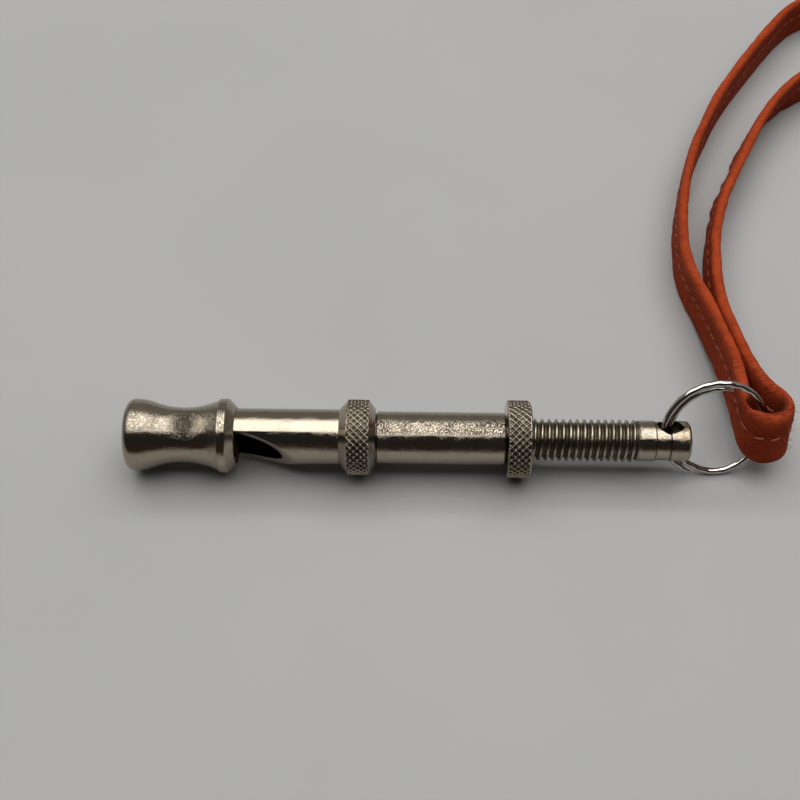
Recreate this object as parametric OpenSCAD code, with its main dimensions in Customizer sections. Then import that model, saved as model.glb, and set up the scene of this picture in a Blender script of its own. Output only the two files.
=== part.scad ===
// Adjustable training whistle with a split ring and a leather neck lanyard.
// It lies along X with the mouth at -X, and rests on z = 0.
// A station is a distance in mm from the mouth end, measured along the whistle.

/* [Whistle] */
// Overall length from the mouth end to the end of the screw
length = 80; // [79:0.5:82]
// Bore that the tuning piston slides in
bore_d = 6.3; // [6.2:0.05:6.4]
// Gap between sliding and turning surfaces, on the radius
running_gap = 0.04; // [0.02:0.01:0.08]

/* [Mouthpiece] */
// Diameter over the rounded bead at the mouth
bead_d = 10.3; // [10:0.1:10.6]
// Smallest diameter of the waist
waist_d = 7.9; // [7.8:0.1:8.2]
// Station of the narrowest part of the waist
waist_at = 8; // [7.8:0.1:8.2]
// Radius of the hollow curve of the waist
waist_curve = 12; // [11.5:0.1:12.5]
// Diameter of the collar band
collar_d = 10.6; // [10.4:0.1:11]
// Length of the mouthpiece
head_len = 15.6; // [15.5:0.1:15.8]
// Diameter of the air inlet
inlet_d = 5.6; // [5:0.1:5.8]
// Height of the air slit over the plug
windway = 0.8; // [0.6:0.05:1]

/* [Tubes] */
// Outer diameter of the front tube
front_d = 7.9; // [7.8:0.05:8]
// Outer diameter of the rear barrel
rear_d = 7.5; // [7.4:0.05:7.6]
// Angle of the sound window below the horizontal, facing -Y
window_tilt = 8; // [0:1:20]
// Station where the ramp of the sound window reaches the surface
window_end = 23.7; // [23:0.1:24.4]

/* [Knurled rings] */
// Diameter of the knurled collar
knurl_d = 10.8; // [10.4:0.1:11]
// Diameter of the lock nut
nut_d = 11.1; // [11:0.1:11.4]
// Thickness of the lock nut
nut_len = 3.5; // [3:0.1:3.6]

/* [Screw] */
// Outer diameter of the thread
thread_d = 6; // [5.9:0.05:6]
// Pitch of the thread
pitch = 1; // [1:0.5:1]
// Diameter of the plain end
rod_d = 5.8; // [5.6:0.1:5.8]
// Diameter of the cross hole for the ring
hole_d = 3.6; // [3.5:0.05:3.7]
// Backward lean of the cross hole from the vertical
hole_lean = 24; // [23:0.5:25]

/* [Lanyard] */
// Outside diameter of the split ring
ring_d = 15.6; // [15.4:0.1:15.8]
// Diameter of the ring's wire
wire_d = 0.9; // [0.8:0.05:0.9]
// Width of the strap, which stands on edge
strap_w = 7.5; // [7:0.1:7.6]
// Thickness of the strap
strap_t = 1.6; // [1.5:0.1:1.7]

/* [Hidden] */
$fn = 64;

axis_z = nut_d / 2;
bore_r = bore_d / 2;
over = 1;

// stations along the whistle
bead_at = 1.2;
plug_at = 4;
tube_at = 12;
collar_at = 13.2;
collar_end = 14.45;
ring_at = 30.3;
joint_at = 33;
ring_end = 35.45;
neck_end = 35.7;
tapped_at = 42;
barrel_end = 53.9;
nut_at = 54;
piston_at = 36;
piston_len = 3.6;
nose_r = 1.5;
thread_at = 41;
thread_end = 72.8;
rod_neck_at = 75;
rod_neck_end = 77.1;
hole_at = 77.2;

// where the sound window starts below the surface, as a height over the axis
window_floor = 1.4;

// plain diameters that depend on the ones above
neck_r = rear_d / 2 - 0.25;
tapped_r = thread_d / 2 + running_gap;

// ring pose: it leans back, turned a little away, and its lowest point is just off the floor
ring_r = (ring_d - wire_d) / 2;
ring_lean = 24;
ring_turn = 5;
floor_gap = 0.05;
turn_gap = 0.85;
ring_pos = [43.5, 1.05, ring_d / 2 * cos(ring_lean) + turn_gap / 2 * sin(ring_lean) + floor_gap];

// strap route: [x, y, height of the strap's middle, backward lean as a slope]
strap_z = strap_w / 2 + floor_gap;
route_a = [
    [132.5, 94.6, strap_z, 0], [124, 98.6, strap_z, 0], [114.5, 102.8, strap_z, 0], [104, 106.3, strap_z, 0],
    [93, 108, strap_z, 0], [82, 107, strap_z, 0], [73.2, 102.2, strap_z, 0], [67.1, 94.5, strap_z, 0],
    [61, 85.4, strap_z, 0], [55.5, 76.4, strap_z, 0], [51.3, 67.5, strap_z, 0], [48.1, 59.6, strap_z, 0],
    [46.3, 53, strap_z, 0], [45.1, 47.3, strap_z, 0], [44.3, 41.5, strap_z, 0], [44, 36.5, strap_z, 0],
    [44.6, 31.5, strap_z, 0], [45.6, 27.3, 4.1, 0.02], [46.4, 22.7, 4.7, 0.06], [47.1, 18.2, 5.3, 0.12],
    [47.7, 13.8, 5.9, 0.2], [47.9, 10, 6.5, 0.28], [47.9, 7, 6.9, 0.35]];
route_bight = [
    [47.9, 4.2, 7.2, 0.4], [48, 1.9, 7.3, 0.4], [48.9, 0, 7.3, 0.4], [50.6, -0.7, 7.3, 0.4],
    [52.2, -0.3, 7.3, 0.4], [53.5, 0.8, 7.3, 0.4], [53.9, 2.3, 7.3, 0.4]];
route_b = [
    [53.3, 3.7, 7.2, 0.4], [52.1, 5, 7.1, 0.38], [51, 7, 6.9, 0.35], [50.2, 9.8, 6.5, 0.28],
    [49.5, 13.8, 5.9, 0.2], [48.9, 18.4, 5.3, 0.12], [48.3, 22.5, 4.7, 0.06], [48.2, 26.5, 4.1, 0.02],
    [48.3, 31, strap_z, 0], [48.8, 36, strap_z, -0.05], [49.5, 40.8, strap_z, -0.1],
    [50.6, 45.2, strap_z, -0.2], [52.4, 50.8, 3.6, -0.35], [54.6, 56, 3.5, -0.45], [57, 61.2, 3.4, -0.5],
    [59.4, 66.2, 3.4, -0.5], [62.3, 71.5, 3.5, -0.4], [66.3, 77, 3.7, -0.25], [71, 81.5, strap_z, -0.1],
    [78.5, 86.3, strap_z, 0], [87.5, 89.2, strap_z, 0], [96.5, 90.6, strap_z, 0], [105, 91.3, strap_z, 0]];
route = concat(route_a, route_bight, route_b);

// coil of the stored lanyard
coil_pos = [121, 48];
coil_outer = 49;
coil_inner = 34.5;

// points of an arc in a [radius, station] outline, centre at (radius r, station s)
function arc(r, s, radius, from, to, steps) =
    [for (i = [0 : steps]) let (a = from + (to - from) * i / steps) [r + radius * sin(a), s - radius * cos(a)]];

// outline of a fine V thread from station s, turn by turn
function thread_outline(s, turns, crest, depth) =
    [for (i = [0 : turns - 1]) each [
        [crest - depth, s + i * pitch], [crest - depth, s + (i + 0.25) * pitch],
        [crest, s + (i + 0.5625) * pitch], [crest, s + (i + 0.6875) * pitch]]];

function flat_unit(v) = [v.x, v.y, 0] / norm([v.x, v.y]);

// lays a shape made along Z onto the whistle's axis, with its zero at the mouth end
module on_axis() {
    translate([-length / 2, 0, axis_z])
        rotate([0, 90, 0])
            children();
}

// a solid of revolution on the whistle's axis, from [radius, station] points
module turned(points) {
    on_axis()
        rotate_extrude($fn = 96)
            polygon(points);
}

module bore(radius, from, to) {
    on_axis()
        translate([0, 0, from])
            cylinder(r = radius, h = to - from, $fn = 96);
}

// everything above the ramp of the sound window, as a prism across the tube
module window_cut() {
    slope = (front_d / 2 - window_floor) / (window_end - head_len);
    reach = 4;
    translate([-length / 2, 0, axis_z])
        rotate([90 + window_tilt, 0, 0])
            rotate([90, 0, 0])
                linear_extrude(height = 2 * front_d, center = true)
                    polygon([
                        [head_len, window_floor],
                        [window_end + reach, front_d / 2 + slope * reach],
                        [head_len, front_d / 2 + slope * reach]]);
}

module mouthpiece() {
    bead_r = bead_d / 2;
    waist_r = waist_d / 2;
    drop = bead_r - waist_r;
    // two arcs that meet smoothly between the bead and the waist
    both = (pow(waist_at - bead_at, 2) + drop * drop) / (2 * drop);
    bead_curve = both - waist_curve;
    meet = asin((waist_at - bead_at) / both);
    flank = asin((collar_at - waist_at) / waist_curve);
    color("silver")
        difference() {
            turned(concat(
                [[inlet_d / 2 - over, 0]],
                arc(bead_r - bead_at, bead_at, bead_at, 0, 90, 8),
                arc(bead_r - bead_curve, bead_at, bead_curve, 90 + meet / 4, 90 + meet, 3),
                [for (i = [1 : 14]) let (a = -meet + (meet + flank) * i / 14)
                    [waist_r + waist_curve * (1 - cos(a)), waist_at + waist_curve * sin(a)]],
                [[collar_d / 2, collar_at + 0.1], [collar_d / 2, collar_end],
                 [front_d / 2 + 0.2, head_len], [inlet_d / 2 - over, head_len]]));
            bore(inlet_d / 2, -over, plug_at + over);
            bore(bore_r, plug_at, head_len + over);
            bore(front_d / 2, tube_at, head_len + over);
        }
}

module windway_plug() {
    ramp = 3;
    color("goldenrod")
        difference() {
            bore(bore_r, plug_at, head_len);
            translate([-length / 2, 0, axis_z])
                rotate([90 + window_tilt, 0, 0])
                    rotate([90, 0, 0])
                        linear_extrude(height = 2 * bore_d, center = true)
                            polygon([
                                [plug_at - over, 0], [plug_at, bore_r - windway - 1.2],
                                [plug_at + ramp, bore_r - windway], [head_len + over, bore_r - windway],
                                [head_len + over, bore_d], [plug_at - over, bore_d]]);
        }
}

module front_tube() {
    color("silver")
        difference() {
            bore(front_d / 2, tube_at, joint_at);
            bore(bore_r, tube_at - over, joint_at + over);
            window_cut();
        }
}

module knurled_collar() {
    r = knurl_d / 2;
    foot = front_d / 2 + 0.1;
    color("gainsboro")
        difference() {
            turned([
                [neck_r - over, ring_at], [foot, ring_at], [r - 0.1, ring_at + 1.1], [r, ring_at + 1.25],
                [r, ring_end - 1], [r - 0.1, ring_end - 0.85], [foot, ring_end], [neck_r - over, ring_end]]);
            bore(neck_r, ring_at - over, ring_end + over);
            bore(front_d / 2, ring_at - over, joint_at);
        }
}

module rear_barrel() {
    r = rear_d / 2;
    chamfer = 0.25;
    color("silver")
        difference() {
            turned([
                [bore_r - over, joint_at], [neck_r, joint_at], [neck_r, neck_end], [r, neck_end],
                [r, barrel_end - chamfer], [r - chamfer, barrel_end], [bore_r - over, barrel_end]]);
            bore(bore_r, joint_at - over, tapped_at);
            bore(tapped_r, joint_at - over, barrel_end + over);
        }
}

module tuning_piston() {
    r = bore_r - running_gap;
    color("goldenrod")
        difference() {
            turned([
                [0, piston_at], [r - 0.3, piston_at], [r, piston_at + 0.3], [r, piston_at + piston_len],
                [0, piston_at + piston_len]]);
            bore(nose_r + running_gap, piston_at + 1, piston_at + piston_len + over);
        }
}

module adjuster_screw() {
    crest = thread_d / 2;
    depth = 0.61 * pitch;
    turns = floor((thread_end - thread_at) / pitch);
    rod_r = rod_d / 2;
    end_chamfer = 0.35;
    sink = 0.2;
    color("silver")
        difference() {
            turned(concat(
                [[0, piston_at + 1 + running_gap], [nose_r, piston_at + 1 + running_gap],
                 [nose_r, piston_at + piston_len + 0.2], [crest - depth, piston_at + piston_len + 0.2]],
                thread_outline(thread_at, turns, crest, depth),
                [[crest - depth, thread_end - 0.2], [rod_r, thread_end], [rod_r, rod_neck_at],
                 [rod_r - 0.15, rod_neck_at + 0.05], [rod_r - 0.15, rod_neck_end - 0.05], [rod_r, rod_neck_end],
                 [rod_r, length - end_chamfer], [rod_r - end_chamfer, length], [0, length]]));
            translate([hole_at - length / 2, 0, axis_z])
                rotate([-hole_lean, 0, 0]) {
                    cylinder(d = hole_d, h = 2 * rod_d, center = true);
                    for (side = [0, 180])
                        rotate([side, 0, 0])
                            translate([0, 0, rod_r - 0.75])
                                cylinder(r1 = hole_d / 2, r2 = hole_d / 2 + 2 * sink, h = 1.5);
                }
        }
}

module lock_nut() {
    r = nut_d / 2;
    left = 0.35;
    right = 0.5;
    nut_end = nut_at + nut_len;
    color("gainsboro")
        difference() {
            turned([
                [tapped_r - over, nut_at], [r - left, nut_at], [r, nut_at + left], [r, nut_end - right],
                [r - right, nut_end], [tapped_r - over, nut_end]]);
            bore(tapped_r, nut_at - over, nut_end + over);
        }
}

module split_ring() {
    color("silver")
        translate(ring_pos)
            rotate([90 - ring_lean, 0, ring_turn])
                rotate_extrude($fn = 96)
                    for (side = [-1, 1])
                        translate([ring_r, side * turn_gap / 2])
                            circle(d = wire_d, $fn = 32);
}

// the strap from the coil to the ring and back, a flat section swept along the route
module lanyard_strap() {
    edge = 0.5;
    half_t = strap_t / 2;
    half_w = strap_w / 2;
    section = [
        [-half_t, -half_w + edge], [-half_t + edge, -half_w], [half_t - edge, -half_w], [half_t, -half_w + edge],
        [half_t, half_w - edge], [half_t - edge, half_w], [-half_t + edge, half_w], [-half_t, half_w - edge]];
    sides = len(section);
    last = len(route) - 1;
    points = [for (i = [0 : last])
        let (
            here = route[i],
            ahead = flat_unit(route[min(i + 1, last)] - route[max(i - 1, 0)]),
            across = [ahead.y, -ahead.x, 0])
        for (q = section)
            [here.x, here.y, here.z] + across * q.x + [0, here[3], 1] * q.y / sqrt(1 + here[3] * here[3])];
    walls = [for (i = [0 : last - 1], k = [0 : sides - 1])
        let (next = (k + 1) % sides)
            [i * sides + k, i * sides + next, (i + 1) * sides + next, (i + 1) * sides + k]];
    first_cap = [for (k = [sides - 1 : -1 : 0]) k];
    last_cap = [for (k = [0 : sides - 1]) last * sides + k];
    color("sienna")
        polyhedron(points = points, faces = concat([first_cap], walls, [last_cap]), convexity = 10);
}

// outer shape of the stored turns of the strap
module lanyard_coil() {
    color("sienna")
        translate([coil_pos.x, coil_pos.y, floor_gap])
            rotate_extrude($fn = 96)
                translate([coil_inner, 0])
                    square([coil_outer - coil_inner, strap_w]);
}

mouthpiece();
windway_plug();
front_tube();
knurled_collar();
rear_barrel();
tuning_piston();
adjuster_screw();
lock_nut();
split_ring();
lanyard_strap();
lanyard_coil();
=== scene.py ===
"""The looks of an adjustable training whistle with a split ring and a leather neck lanyard.

The whistle lies along X with the mouth at -X. A station is a distance in millimetres from the mouth end,
measured along the whistle. Lengths are millimetres until they are multiplied by MM, but the camera's
distance, the floor, the lights and the cards are in metres.
"""

import math
import random

import bmesh
import bpy
import numpy as np
from mathutils import Matrix, Vector, noise


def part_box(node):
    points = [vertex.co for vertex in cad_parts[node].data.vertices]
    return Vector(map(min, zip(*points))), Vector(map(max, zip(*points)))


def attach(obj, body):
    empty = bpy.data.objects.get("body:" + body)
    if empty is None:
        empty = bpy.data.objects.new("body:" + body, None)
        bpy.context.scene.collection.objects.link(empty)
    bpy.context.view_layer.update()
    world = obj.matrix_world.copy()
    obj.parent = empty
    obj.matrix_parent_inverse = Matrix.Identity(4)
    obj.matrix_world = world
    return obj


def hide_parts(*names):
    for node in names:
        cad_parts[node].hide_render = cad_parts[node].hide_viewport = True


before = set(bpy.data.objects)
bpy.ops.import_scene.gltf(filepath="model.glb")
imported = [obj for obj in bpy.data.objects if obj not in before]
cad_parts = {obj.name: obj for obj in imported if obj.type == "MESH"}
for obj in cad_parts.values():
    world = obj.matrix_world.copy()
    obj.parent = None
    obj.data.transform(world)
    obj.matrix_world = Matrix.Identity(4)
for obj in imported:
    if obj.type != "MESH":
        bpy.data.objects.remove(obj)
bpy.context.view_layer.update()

MM = 0.001
TURN = 2 * math.pi

mouth_low, mouth_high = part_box("mouthpiece")
MOUTH_X = mouth_low.x
AXIS_Z = (mouth_low.z + mouth_high.z) / 2


# ---------------- camera

ELEVATION = math.radians(53)
YAW = math.radians(-1)
ROLL = math.radians(-0.1)
DISTANCE = 0.1714
LENS = 54
# how far the middle of the picture is from the middle of the whistle, to the right and up in the picture
AIM = (-1.09 * MM, 5.41 * MM)


def make_camera():
    """Looks down at the whistle, with the middle of the picture moved by AIM."""
    flat = math.cos(ELEVATION)
    forward = Vector((math.sin(YAW) * flat, math.cos(YAW) * flat, -math.sin(ELEVATION)))
    level = forward.cross(Vector((0, 0, 1))).normalized()
    steep = level.cross(forward)
    right = math.cos(ROLL) * level + math.sin(ROLL) * steep
    up = math.cos(ROLL) * steep - math.sin(ROLL) * level
    data = bpy.data.cameras.new("camera")
    data.lens = LENS
    data.sensor_width = 36
    data.clip_start = 0.01
    data.clip_end = 20
    camera = bpy.data.objects.new("camera", data)
    bpy.context.scene.collection.objects.link(camera)
    place = Vector((0, 0, AXIS_Z)) + AIM[0] * right + AIM[1] * up - DISTANCE * forward
    turn = Matrix((right, up, -forward)).transposed().to_4x4()
    camera.matrix_world = Matrix.Translation(place) @ turn
    bpy.context.scene.camera = camera


make_camera()


# ---------------- mesh helpers

def make_mesh(name, points, faces, material, sharp=None):
    """A smooth-shaded mesh object from points in metres. Edges over sharp degrees stay hard."""
    mesh = bpy.data.meshes.new(name)
    mesh.from_pydata([tuple(p) for p in points], [], faces)
    work = bmesh.new()
    work.from_mesh(mesh)
    bmesh.ops.recalc_face_normals(work, faces=work.faces)
    work.to_mesh(mesh)
    work.free()
    mesh.polygons.foreach_set("use_smooth", [True] * len(mesh.polygons))
    if sharp is not None:
        mesh.set_sharp_from_angle(angle=math.radians(sharp))
    piece = bpy.data.objects.new(name, mesh)
    bpy.context.scene.collection.objects.link(piece)
    piece.data.materials.append(material)
    return piece


ROUNDING_STEPS = 3
# corners that turn by fewer degrees than this stay as they are
LEAST_CORNER = 15


def soften(points, radius, closed=True):
    """An outline with its corners rounded, and a supporting point each side of each rounding."""
    out = []
    count = len(points)
    corners = [Vector(p[:2]) for p in points]
    for i, here in enumerate(corners):
        if not closed and i in (0, count - 1):
            out.append(tuple(here))
            continue
        back = corners[i - 1] - here
        ahead = corners[(i + 1) % count] - here
        if math.degrees(math.pi - back.angle(ahead)) < LEAST_CORNER:
            out.append(tuple(here))
            continue
        cut = min(radius, 0.3 * back.length, 0.3 * ahead.length)
        start = here + back.normalized() * cut
        end = here + ahead.normalized() * cut
        if back.length > 8 * cut:
            out.append(tuple(here + back.normalized() * 2.5 * cut))
        for k in range(ROUNDING_STEPS + 1):
            t = k / ROUNDING_STEPS
            out.append(tuple(start * (1 - t) ** 2 + here * 2 * t * (1 - t) + end * t ** 2))
        if ahead.length > 8 * cut:
            out.append(tuple(here + ahead.normalized() * 2.5 * cut))
    return out


def subdivide(outline, start, end, step, above):
    """An outline with extra rows every step between two stations, on its part above a radius."""
    out = []
    for i, here in enumerate(outline):
        out.append(here)
        after = outline[(i + 1) % len(outline)]
        low, high = sorted((here[0], after[0]))
        if min(here[1], after[1]) < above or high <= start or low >= end:
            continue
        pieces = max(1, math.ceil(abs(after[0] - here[0]) / step))
        for k in range(1, pieces):
            t = k / pieces
            out.append((here[0] + (after[0] - here[0]) * t, here[1] + (after[1] - here[1]) * t))
    return out


def tube_faces(rows, sides, start=0):
    """Faces of a tube through rows of points, the first of them numbered start, with both ends closed."""
    faces = []
    for row in range(rows - 1):
        a = start + row * sides
        b = a + sides
        faces += [(a + k, a + (k + 1) % sides, b + (k + 1) % sides, b + k) for k in range(sides)]
    last = start + (rows - 1) * sides
    faces.append(tuple(range(start, start + sides)))
    faces.append(tuple(range(last, last + sides)))
    return faces


def loop_faces(rows, sides):
    """Faces of a tube through rows of points whose last row joins the first."""
    faces = []
    for row in range(rows):
        a = row * sides
        b = (row + 1) % rows * sides
        faces += [(a + k, a + (k + 1) % sides, b + (k + 1) % sides, b + k) for k in range(sides)]
    return faces


def turned(name, outline, material, segments, closed=True, relief=None, above=0.0, sharp=None):
    """A turned piece on the whistle's axis. The outline's points are (station, radius).

    relief(station, angles) gives a surface that cuts the part of the outline above a radius, and its height
    from 0 to 1, which is kept as the attribute relief.
    """
    angles = np.arange(segments) * TURN / segments
    points, depths = [], []
    for station, radius in outline:
        radii = np.full(segments, float(radius))
        depth = np.ones(segments)
        if relief is not None and radius > above:
            surface, height = relief(station, angles)
            radii = np.minimum(radii, surface)
            depth = height
        x = np.full(segments, MOUTH_X + station * MM)
        y = radii * MM * np.sin(angles)
        z = AXIS_Z + radii * MM * np.cos(angles)
        points.append(np.column_stack([x, y, z]))
        depths.append(depth)
    faces = loop_faces(len(outline), segments) if closed else tube_faces(len(outline), segments)
    piece = make_mesh(name, np.concatenate(points), faces, material, sharp)
    if relief is not None:
        add_attribute(piece, "relief", np.concatenate(depths))
    return piece


def add_attribute(piece, name, values):
    """Gives each point of the piece's mesh a value that a material can read."""
    attribute = piece.data.attributes.new(name, "FLOAT", "POINT")
    attribute.data.foreach_set("value", np.asarray(values, np.float32))


def apply_modifiers(piece):
    """Bakes the object's modifiers into its mesh."""
    graph = bpy.context.evaluated_depsgraph_get()
    mesh = bpy.data.meshes.new_from_object(piece.evaluated_get(graph), depsgraph=graph)
    piece.modifiers.clear()
    old = piece.data
    piece.data = mesh
    bpy.data.meshes.remove(old)


# edges that turn by more than this are rounded
EDGE_ANGLE = math.radians(24)


def cut_away(piece, cutter, bevel):
    """Takes the cutter's shape out of the piece and rounds the new edges."""
    boolean = piece.modifiers.new("cut", "BOOLEAN")
    boolean.operation = "DIFFERENCE"
    boolean.solver = "EXACT"
    boolean.object = cutter
    apply_modifiers(piece)
    cutter_mesh = cutter.data
    bpy.data.objects.remove(cutter)
    bpy.data.meshes.remove(cutter_mesh)
    rounding = piece.modifiers.new("rounding", "BEVEL")
    rounding.width = bevel * MM
    rounding.segments = 2
    rounding.limit_method = "ANGLE"
    rounding.angle_limit = EDGE_ANGLE
    apply_modifiers(piece)
    piece.data.polygons.foreach_set("use_smooth", [True] * len(piece.data.polygons))
    piece.data.set_sharp_from_angle(angle=EDGE_ANGLE)


def joined(name, first, second):
    """One object from two."""
    work = bmesh.new()
    work.from_mesh(first.data)
    work.from_mesh(second.data)
    work.to_mesh(first.data)
    work.free()
    bpy.data.objects.remove(second)
    first.name = name
    return first


def smooth_step(low, high, value):
    """0 below low, 1 above high, and a smooth ramp between; low may be the greater."""
    t = np.clip((value - low) / (high - low), 0, 1)
    return t * t * (3 - 2 * t)


# ---------------- materials

class Nodes:
    """The nodes of a material or a world."""

    def __init__(self, tree):
        self.tree = tree

    def add(self, kind, inputs=None, **settings):
        """Makes a node, sets its plain inputs and links the others."""
        node = self.tree.nodes.new(kind)
        for key, value in settings.items():
            setattr(node, key, value)
        for key, value in (inputs or {}).items():
            self.feed(node.inputs[key], value)
        return node

    def feed(self, socket, value):
        if isinstance(value, bpy.types.NodeSocket):
            self.tree.links.new(value, socket)
        else:
            socket.default_value = value

    def sums(self, operation, *values):
        """The output of a Math node."""
        node = self.add("ShaderNodeMath", operation=operation)
        for socket, value in zip(node.inputs, values):
            self.feed(socket, value)
        return node.outputs[0]

    def times(self, first, second):
        return self.sums("MULTIPLY", first, second)


class Shader(Nodes):
    """A node material on the Principled surface."""

    def __init__(self, name):
        self.material = bpy.data.materials.new(name)
        self.material.use_nodes = True
        super().__init__(self.material.node_tree)
        self.surface = self.tree.nodes["Principled BSDF"]
        self.place = self.add("ShaderNodeTexCoord").outputs["Object"]

    def set(self, **inputs):
        """Sets or links inputs of the surface; an underscore stands for a space."""
        for key, value in inputs.items():
            self.feed(self.surface.inputs[key.replace("_", " ")], value)

    def scaled(self, size, stretch):
        """The inputs that give a texture its place and its size in millimetres."""
        spot = self.add("ShaderNodeMapping", {"Vector": self.place, "Scale": stretch})
        return {"Vector": spot.outputs[0], "Scale": 1 / (size * MM)}

    def cloud(self, size, detail=2.0, rough=0.5, stretch=(1, 1, 1)):
        """Noise with features of about that size in millimetres."""
        inputs = {**self.scaled(size, stretch), "Detail": detail, "Roughness": rough}
        return self.add("ShaderNodeTexNoise", inputs).outputs["Fac"]

    def cells(self, size, feature="F1", stretch=(1, 1, 1)):
        """Distance to scattered points that are about that far apart in millimetres."""
        inputs = {**self.scaled(size, stretch), "Randomness": 1.0}
        return self.add("ShaderNodeTexVoronoi", inputs, feature=feature).outputs["Distance"]

    def between(self, value, low, high, to_low=0.0, to_high=1.0):
        """value's stretch from low to high, as to_low to to_high, held beyond both."""
        inputs = {"Value": value, "From Min": low, "From Max": high, "To Min": to_low, "To Max": to_high}
        return self.add("ShaderNodeMapRange", inputs).outputs["Result"]

    def attribute(self, name):
        """A value that the mesh keeps for each of its points."""
        return self.add("ShaderNodeAttribute", attribute_name=name).outputs["Fac"]

    def blend(self, share, first, second):
        """first where share is 0, second where it is 1."""
        node = self.add("ShaderNodeMix", data_type="RGBA")
        self.feed(node.inputs[0], share)
        for socket, colour in ((node.inputs[6], first), (node.inputs[7], second)):
            self.feed(socket, colour if isinstance(colour, bpy.types.NodeSocket) else (*colour, 1.0))
        return node.outputs[2]

    def from_axis(self, station=0.0, y=0.0, height=0.0):
        """Place relative to a point given by its station, y and height over the whistle's axis."""
        point = (MOUTH_X + station * MM, y * MM, AXIS_Z + height * MM)
        return self.add("ShaderNodeVectorMath", {0: self.place, 1: point}, operation="SUBTRACT").outputs[0]

    def radius(self):
        """Distance from the whistle's axis, in metres."""
        flat = self.add("ShaderNodeVectorMath", {0: self.from_axis(), 1: (0, 1, 1)}, operation="MULTIPLY")
        return self.add("ShaderNodeVectorMath", {0: flat.outputs[0]}, operation="LENGTH").outputs["Value"]

    def facing(self, lean):
        """How squarely the surface of a turned piece faces up and, by the lean in degrees, to the front."""
        way = (0, -math.sin(math.radians(lean)), math.cos(math.radians(lean)))
        reach = self.add("ShaderNodeVectorMath", {0: self.from_axis(), 1: way}, operation="DOT_PRODUCT")
        return self.sums("DIVIDE", reach.outputs["Value"], self.radius())

    def near(self, point, reach):
        """1 at a point (station, y, height over the axis), falling to 0 at the reach."""
        away = self.add("ShaderNodeVectorMath", {0: self.from_axis(*point)}, operation="LENGTH")
        return self.between(away.outputs["Value"], 0.35 * reach * MM, reach * MM, 1.0, 0.0)

    def near_station(self, station, reach):
        """1 within the reach of the station, 0 a little further away."""
        along = self.add("ShaderNodeSeparateXYZ", {0: self.from_axis(station)}).outputs["X"]
        return self.between(self.sums("ABSOLUTE", along), 0.8 * reach * MM, 1.2 * reach * MM, 1.0, 0.0)

    def bump(self, height, depth, below=None):
        """Relief of that depth in millimetres, on top of another bump."""
        inputs = {"Height": height, "Distance": depth * MM, "Strength": 1.0}
        if below is not None:
            inputs["Normal"] = below
        return self.add("ShaderNodeBump", inputs).outputs["Normal"]


NICKEL = (0.385, 0.333, 0.262)
NICKEL_DULL = (0.255, 0.215, 0.160)
BRASS = (0.50, 0.31, 0.075)
# dark of real pits and grime, and also of painted shade in the bore, the grooves and the hollows of the
# relief
GRIME_AND_SHADE = (0.040, 0.030, 0.020)
SPECK = (0.036, 0.031, 0.024)


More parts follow.
